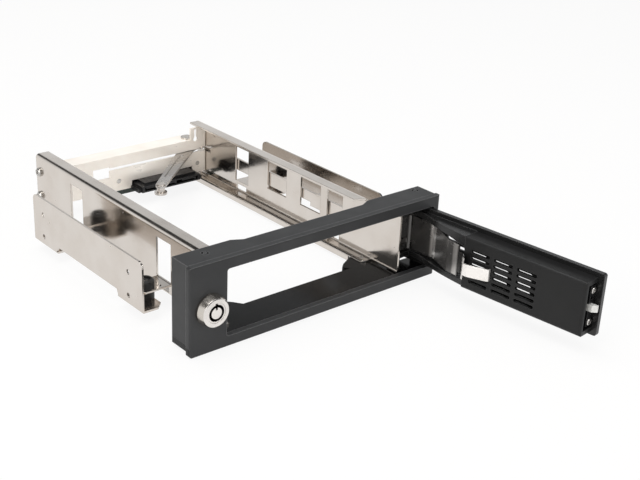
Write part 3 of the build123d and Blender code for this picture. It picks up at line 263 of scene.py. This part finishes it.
def turned_metal(name, colour, centre, rough, depth, dark, painted_shade_colour):
    """Turned and plated metal, with fine rings round the line along Y through centre.

    The window dark is an axis and two places on it. Inside it the metal has painted_shade_colour, as painted
    shade.
    """
    shader = Shader(name)
    shift = shader.add("ShaderNodeMapping")
    shift.inputs["Location"].default_value = [-value for value in centre]
    shader.link(shader.where, shift.inputs["Vector"])
    radial = shader.add("ShaderNodeVectorMath", operation="MULTIPLY")
    radial.inputs[1].default_value = (1, 0, 1)
    shader.link(shift.outputs["Vector"], radial.inputs[0])
    length = shader.add("ShaderNodeVectorMath", operation="LENGTH")
    shader.link(radial.outputs["Vector"], length.inputs[0])
    rings = shader.add_up(length.outputs["Value"], 2 * math.pi / RING_PITCH, "MULTIPLY")
    rings = shader.add_up(rings, 0.0, "SINE")
    wobble = shader.noise(1500, 2.0)
    haze = shader.noise(260, 4.0)
    toned = tuple(c * 0.82 for c in colour)
    base = shader.mix(shader.ramp(haze, 0.0, 0.6, 0.4, 0.75), colour, toned)
    # Painted shade: inside the window dark the colour becomes painted_shade_colour
    base = shader.mix(shader.within(*dark), base, painted_shade_colour)
    shader.link(base, shader.bsdf.inputs["Base Color"])
    spread = shader.add_up(shader.ramp(haze, -0.03, 0.07, 0.3, 0.7), shader.ramp(wobble, -0.02, 0.03))
    shader.link(shader.add_up(rough, spread), shader.bsdf.inputs["Roughness"])
    shader.bsdf.inputs["Metallic"].default_value = 1.0
    shader.relief(shader.add_up(shader.ramp(rings, 0.0, 0.5, -1.0, 1.0), wobble), depth, 0.15 * MM)
    return shader.material


def plated(name, colour, rough=0.26):
    """Small zinc-plated pieces, with a cloudy coat."""
    shader = Shader(name)
    cloud = shader.noise(420, 4.0)
    fine = shader.noise(3000, 2.0)
    dark = tuple(c * 0.72 for c in colour)
    base = shader.mix(shader.ramp(cloud, 0.0, 1.0, 0.35, 0.75), colour, dark)
    shader.link(base, shader.bsdf.inputs["Base Color"])
    spread = shader.add_up(rough, shader.ramp(cloud, -0.06, 0.12, 0.3, 0.7))
    shader.link(spread, shader.bsdf.inputs["Roughness"])
    shader.bsdf.inputs["Metallic"].default_value = 1.0
    shader.relief(fine, 0.008 * MM, 0.2 * MM)
    return shader.material


def soft_rubber(name, colour):
    """Matt rubber with a bloom of lighter dust in its low places."""
    shader = Shader(name)
    fine = shader.noise(1800, 3.0)
    bloom = shader.ramp(shader.noise(300, 4.0), 0.0, 0.5, 0.5, 0.8)
    shader.link(shader.mix(bloom, colour, (0.022, 0.021, 0.020)), shader.bsdf.inputs["Base Color"])
    shader.link(shader.ramp(fine, 0.4, 0.6, 0.3, 0.7), shader.bsdf.inputs["Roughness"])
    shader.relief(fine, 0.03 * MM, 0.4 * MM)
    return shader.material


def circuit_board(name, colour):
    """Lacquered board: copper runs show as slightly raised, lighter stripes."""
    shader = Shader(name)
    brick = shader.add("ShaderNodeTexBrick")
    brick.inputs["Scale"].default_value = 520
    brick.inputs["Mortar Size"].default_value = 0.12
    brick.inputs["Color1"].default_value = (0, 0, 0, 1)
    brick.inputs["Color2"].default_value = (0, 0, 0, 1)
    brick.inputs["Mortar"].default_value = (1, 1, 1, 1)
    turned = shader.add("ShaderNodeMapping")
    turned.inputs["Rotation"].default_value = (math.radians(90), 0, 0)
    shader.link(shader.where, turned.inputs["Vector"])
    shader.link(turned.outputs["Vector"], brick.inputs["Vector"])
    runs = brick.outputs["Fac"]
    weave = shader.noise(2400, 2.0)
    lighter = (colour[0] * 1.8, colour[1] * 1.7, colour[2] * 1.6)
    shader.link(shader.mix(runs, colour, lighter), shader.bsdf.inputs["Base Color"])
    shader.link(shader.ramp(weave, 0.25, 0.4), shader.bsdf.inputs["Roughness"])
    shader.relief(shader.add_up(runs, shader.ramp(weave, 0.0, 0.3)), 0.03 * MM, 0.1 * MM)
    return shader.material


# Materials of the CAD nodes
plug_low, plug_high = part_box("lock_plug")
lock_centre = (plug_low + plug_high) / 2
body_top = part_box("bezel")[1][2] - BODY_DROP
# Painted shade: the bezel's floor and the floors of its two mould marks are darkened, and made smooth
smooth_with_painted_shade = [(("Z", *FLOOR_HEIGHTS), ("Y", *FLOOR_LENGTH))]
for x, y in MARKS:
    across = ("X", x - MARK_REACH, x + MARK_REACH)
    deep = ("Y", y - MARK_REACH, y + MARK_REACH)
    smooth_with_painted_shade.append((across, deep, ("Z", body_top - MARK_DEPTHS[0], body_top - MARK_DEPTHS[1])))
bezel_black = moulded("bezel_black", BLACK, 0.40, shine=0.2, gloss_with_painted_shade=smooth_with_painted_shade, rim=0.2, rim_share=0.75,
                      rim_width=0.7 * MM, painted_shade_window=("Z", body_top - TOP_SKIN, body_top + 2 * MM, 0.5))
door_black = moulded("door_black", BLACK_DOOR, 0.24, shine=0.45, rim=0.12, rim_share=0.6)
cover_black = moulded("cover_black", BLACK_COVER, 0.4, grain=2200, depth=0.03 * MM, shine=0.25, rim=0.06,
                      rim_share=0.5)
smooth_black = moulded("smooth_black", BLACK_SMOOTH, 0.3, grain=5200, depth=0.008 * MM, edge=0.15 * MM,
                       shine=0.35, rim=0.03)
nylon = moulded("nylon_white", NYLON, 0.4, grain=4200, depth=0.01 * MM, edge=0.2 * MM, lift=1.06, rim=0.75)
rail_steel = sheet_steel("rail_nickel", NICKEL, 0.13, edge=0.4 * MM)
bracket_steel = sheet_steel("bracket_nickel", NICKEL, 0.15)
# Painted shade: the right bracket has a darker copy of the nickel
right_steel_painted_shade = sheet_steel("right_nickel_painted_shade", NICKEL_PAINTED_SHADE, 0.15)
plate_steel = sheet_steel("plate_nickel", NICKEL_PALE, 0.3, "X", metal=0.25)
arm_steel = sheet_steel("arm_nickel", NICKEL_DULL, 0.26, "X")
# Painted reflection: the strap's colour is darkened in bands along Y
strap_steel = sheet_steel("strap_nickel", STRAP, 0.2, "Z", depth=0.004 * MM, metal=0.7,
                          stops=STRAP_PAINTED_REFLECTION)
pin_steel = plated("pin_nickel", NICKEL, 0.2)
zinc = plated("screw_zinc", ZINC)
collar_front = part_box("lock_housing")[0][1]
# Painted shade: the side of the lock's collar is darkened
collar_side = ("Y", collar_front + COLLAR_RIM, collar_front + COLLAR_LENGTH)
chrome = turned_metal("lock_chrome", CHROME, lock_centre, 0.2, 0.003 * MM, collar_side, COLLAR_PAINTED_SHADE)
# Painted shade: the keyway's walls behind its rim are near black
keyway_walls = ("Y", plug_low[1] + KEYWAY_RIM, plug_high[1])
plug_chrome = turned_metal("plug_chrome", CHROME, lock_centre, 0.3, 0.004 * MM, keyway_walls, KEYWAY_PAINTED_SHADE)
rubber = soft_rubber("damper_rubber", RUBBER)
board = circuit_board("board_black", BOARD)

finishes = {
    bezel_black: ["bezel"],
    door_black: ["door_panel", "latch_slider"],
    cover_black: ["door_cover"],
    smooth_black: ["drive_connector", "data_socket", "power_socket", "latch_plate"],
    nylon: ["latch_bolt"],
    rail_steel: ["left_rail", "right_rail", "push_bar"],
    bracket_steel: ["left_bracket"],
    right_steel_painted_shade: ["right_bracket"],
    plate_steel: ["rear_plate"],
    arm_steel: ["eject_arm", "crank_plate"],
    strap_steel: ["door_strap"],
    pin_steel: ["hinge_pin", "arm_pivot_pin", "arm_spacer", "eject_stud", "arm_link_pin", "crank_pin",
                "latch_spring", "lock_cam"],
    zinc: ["bezel_screws", "damper_screws", "rear_plate_screws", "board_screws", "board_spacers",
           "latch_screws", "lock_nut", "lock_cam_screw"],
    chrome: ["lock_housing"],
    plug_chrome: ["lock_plug"],
    rubber: ["front_left_damper", "rear_left_damper", "front_right_damper", "rear_right_damper"],
    board: ["backplane_board"],
}
for material, names in finishes.items():
    for name in names:
        for place in nodes[name].material_slots:
            place.material = material


# Contacts inside the connectors
BLOCK_SIDES = ((0, 2, 3, 1), (4, 5, 7, 6), (0, 1, 5, 4), (2, 6, 7, 3), (0, 4, 6, 2), (1, 3, 7, 5))


def boxes(name, spans, material, body):
    """One mesh of plain blocks, each given by its low and high corner."""
    points, faces = [], []
    for low, high in spans:
        start = len(points)
        for z in (low[2], high[2]):
            for y in (low[1], high[1]):
                points += [(x, y, z) for x in (low[0], high[0])]
        faces += [tuple(start + corner for corner in side) for side in BLOCK_SIDES]
    mesh = bpy.data.meshes.new(name)
    mesh.from_pydata(points, [], faces)
    mesh.materials.append(material)
    piece = bpy.data.objects.new(name, mesh)
    bpy.context.scene.collection.objects.link(piece)
    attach(piece, body)


CONTACT_PITCH = 1.27 * MM
CONTACT_WIDTH = 0.7 * MM

# In the rear sockets: how far the contacts stay from the front and rear face, and lie below the top
SOCKET_MARGINS = (2.2 * MM, 1.2 * MM)
SOCKET_DROPS = (3.68 * MM, 3.55 * MM)

# In the drive connector: how far behind the front face and above the bottom they lie, and where each row
# starts, the power row from the left side and the data row from the right
DRIVE_DEPTHS = (0.7 * MM, 5.5 * MM)
DRIVE_HEIGHTS = (1.62 * MM, 1.75 * MM)
POWER_INSET = 5.2 * MM
DATA_INSET = 13.6 * MM


def contact_row(left, count, y_span, z_span):
    """The low and high corners of a row of contacts that starts at left."""
    spans = []
    for index in range(count):
        x = left + index * CONTACT_PITCH
        spans.append(((x, y_span[0], z_span[0]), (x + CONTACT_WIDTH, y_span[1], z_span[1])))
    return spans


gold = plated("contact_gold", GOLD, 0.22)
for node, count in (("data_socket", 7), ("power_socket", 15)):
    low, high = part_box(node)
    first = (low[0] + high[0] - (count - 1) * CONTACT_PITCH - CONTACT_WIDTH) / 2
    depth = (low[1] + SOCKET_MARGINS[0], high[1] - SOCKET_MARGINS[1])
    height = (high[2] - SOCKET_DROPS[0], high[2] - SOCKET_DROPS[1])
    boxes(node + "_contacts", contact_row(first, count, depth, height), gold, "frame")

low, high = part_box("drive_connector")
depth = (low[1] + DRIVE_DEPTHS[0], low[1] + DRIVE_DEPTHS[1])
height = (low[2] + DRIVE_HEIGHTS[0], low[2] + DRIVE_HEIGHTS[1])
power = contact_row(low[0] + POWER_INSET, 15, depth, height)
data = contact_row(high[0] - DATA_INSET, 6, depth, height)
boxes("drive_contacts", power + data, gold, "frame")


# Centre post of the lock's keyway. POST_NOTCH is half the notch's width, and its floor lies above the axis.
POST_RADIUS = 2.65 * MM
POST_NOTCH = 0.5 * MM
POST_NOTCH_FLOOR = 1.5 * MM
POST_PROUD = 0.02 * MM
POST_END = 3.4 * MM
POST_STEPS = 48


def lock_post():
    """A notched round post that leaves the keyway as narrow a ring as the real lock has."""
    start = math.pi / 2 + math.asin(POST_NOTCH / POST_RADIUS)
    turn = 2 * math.pi - 2 * math.asin(POST_NOTCH / POST_RADIUS)
    outline = [(-POST_NOTCH, POST_NOTCH_FLOOR)]
    for step in range(POST_STEPS + 1):
        angle = start + turn * step / POST_STEPS
        outline.append((POST_RADIUS * math.cos(angle), POST_RADIUS * math.sin(angle)))
    outline.append((POST_NOTCH, POST_NOTCH_FLOOR))
    count = len(outline)
    points = []
    for y in (plug_low[1] - POST_PROUD, plug_low[1] + POST_END):
        points += [(lock_centre[0] + x, y, lock_centre[2] + z) for x, z in outline]
    faces = [tuple(range(count)), tuple(reversed(range(count, 2 * count)))]
    for index in range(count):
        after = (index + 1) % count
        faces.append((index, index + count, after + count, after))
    mesh = bpy.data.meshes.new("lock_post")
    mesh.from_pydata(points, [], faces)
    mesh.materials.append(plug_chrome)
    piece = bpy.data.objects.new("lock_post", mesh)
    bpy.context.scene.collection.objects.link(piece)
    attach(piece, "lock")


lock_post()


# Floor, world and lights
GLOW_SHARE = 0.88

# The brightness that metal mirrors, by the upward part of the view's direction: 0 is level and 1 straight up
SKY = ((0.0, 1.0), (0.25, 0.95), (0.43, 0.66), (0.52, 0.04), (0.78, 0.05), (0.88, 0.6), (1.0, 0.95))


def floor_material():
    """Pale paper that renders near white, also in reflections, and keeps a faint shadow of the object."""
    shader = Shader("paper")
    grain = shader.noise(700, 3.0)
    pale = tuple(c * 0.97 for c in FLOOR)
    paper = shader.mix(shader.ramp(grain, 0.0, 1.0, 0.4, 0.6), FLOOR, pale)
    shader.link(paper, shader.bsdf.inputs["Base Color"])
    shader.bsdf.inputs["Roughness"].default_value = 0.9
    shader.bsdf.inputs["Specular IOR Level"].default_value = 0.1
    glow = shader.add("ShaderNodeEmission")
    glow.inputs["Strength"].default_value = 1.0
    rays = shader.add("ShaderNodeLightPath")
    seen = shader.add_up(rays.outputs["Is Camera Ray"], rays.outputs["Is Glossy Ray"], "MAXIMUM")
    seen = shader.add_up(seen, rays.outputs["Is Transmission Ray"], "MAXIMUM")
    blend = shader.add("ShaderNodeMixShader")
    output = shader.tree.nodes["Material Output"]
    shader.link(shader.add_up(seen, GLOW_SHARE, "MULTIPLY"), blend.inputs["Fac"])
    shader.link(shader.bsdf.outputs["BSDF"], blend.inputs[1])
    shader.link(glow.outputs["Emission"], blend.inputs[2])
    shader.link(blend.outputs["Shader"], output.inputs["Surface"])
    return shader.material


def plane(name, size, place, material):
    mesh = bpy.data.meshes.new(name)
    half = size / 2
    corners = [(-half, -half, 0), (half, -half, 0), (half, half, 0), (-half, half, 0)]
    mesh.from_pydata(corners, [], [(0, 1, 2, 3)])
    mesh.materials.append(material)
    thing = bpy.data.objects.new(name, mesh)
    thing.location = place
    bpy.context.scene.collection.objects.link(thing)


def studio_world():
    """A pale room: white behind the object, and for reflections a dark band below the ceiling's light."""
    world = bpy.data.worlds.new("studio")
    world.use_nodes = True
    tree = world.node_tree
    soft = tree.nodes["Background"]
    soft.inputs["Color"].default_value = (0.94, 0.95, 0.97, 1)
    soft.inputs["Strength"].default_value = 0.5
    white = tree.nodes.new("ShaderNodeBackground")
    white.inputs["Color"].default_value = (1, 1, 1, 1)
    mirrored = tree.nodes.new("ShaderNodeBackground")
    where = tree.nodes.new("ShaderNodeTexCoord")
    parts = tree.nodes.new("ShaderNodeSeparateXYZ")
    tree.links.new(where.outputs["Generated"], parts.inputs["Vector"])
    ramp = tree.nodes.new("ShaderNodeValToRGB")
    stops = ramp.color_ramp.elements
    while len(stops) < len(SKY):
        stops.new(0.5)
    for stop, (height, level) in zip(stops, SKY):
        stop.position = height
        stop.color = (level * 0.99, level, level * 1.01, 1)
    tree.links.new(parts.outputs["Z"], ramp.inputs["Fac"])
    tree.links.new(ramp.outputs["Color"], mirrored.inputs["Color"])
    rays = tree.nodes.new("ShaderNodeLightPath")
    glossy = tree.nodes.new("ShaderNodeMixShader")
    seen = tree.nodes.new("ShaderNodeMixShader")
    direct = tree.nodes.new("ShaderNodeMath")
    direct.operation = "MAXIMUM"
    tree.links.new(rays.outputs["Is Camera Ray"], direct.inputs[0])
    tree.links.new(rays.outputs["Is Transmission Ray"], direct.inputs[1])
    tree.links.new(rays.outputs["Is Glossy Ray"], glossy.inputs["Fac"])
    tree.links.new(soft.outputs["Background"], glossy.inputs[1])
    tree.links.new(mirrored.outputs["Background"], glossy.inputs[2])
    tree.links.new(direct.outputs["Value"], seen.inputs["Fac"])
    tree.links.new(glossy.outputs["Shader"], seen.inputs[1])
    tree.links.new(white.outputs["Background"], seen.inputs[2])
    tree.links.new(seen.outputs["Shader"], tree.nodes["World Output"].inputs["Surface"])
    bpy.context.scene.world = world


def softbox(name, place, aim, size, watts, colour=(1, 1, 1)):
    lamp = bpy.data.lights.new(name, "AREA")
    lamp.shape = "RECTANGLE"
    lamp.size, lamp.size_y = size
    lamp.energy = watts
    lamp.color = colour
    thing = bpy.data.objects.new(name, lamp)
    thing.location = place
    direction = Vector(aim) - Vector(place)
    thing.rotation_euler = direction.to_track_quat("-Z", "Y").to_euler()
    bpy.context.scene.collection.objects.link(thing)


middle = (0.0, 0.06, 0.02)
plane("paper_floor", 6.0, (0, 0, -0.0005), floor_material())
studio_world()
softbox("top_softbox", (-0.1, 0.15, 0.9), middle, (0.9, 0.7), 5.9)
softbox("left_softbox", (-0.95, -0.15, 0.55), middle, (0.6, 0.5), 4, (1.0, 0.985, 0.96))
softbox("front_softbox", (0.35, -0.95, 0.45), middle, (0.6, 0.4), 3.1)

# The camera
view_line = Vector((math.sin(CAMERA_HEADING) * math.cos(CAMERA_DIP),
                    math.cos(CAMERA_HEADING) * math.cos(CAMERA_DIP),
                    -math.sin(CAMERA_DIP)))
lens = bpy.data.cameras.new("camera")
lens.lens = LENS
lens.sensor_width = SENSOR
camera = bpy.data.objects.new("camera", lens)
camera.location = CAMERA_PLACE
aim = view_line.to_track_quat("-Z", "Y").to_matrix() @ Matrix.Rotation(-CAMERA_ROLL, 3, "Z")
camera.rotation_euler = aim.to_euler()
bpy.context.scene.collection.objects.link(camera)
bpy.context.scene.camera = camera
bpy.context.scene.view_settings.view_transform = "Standard"
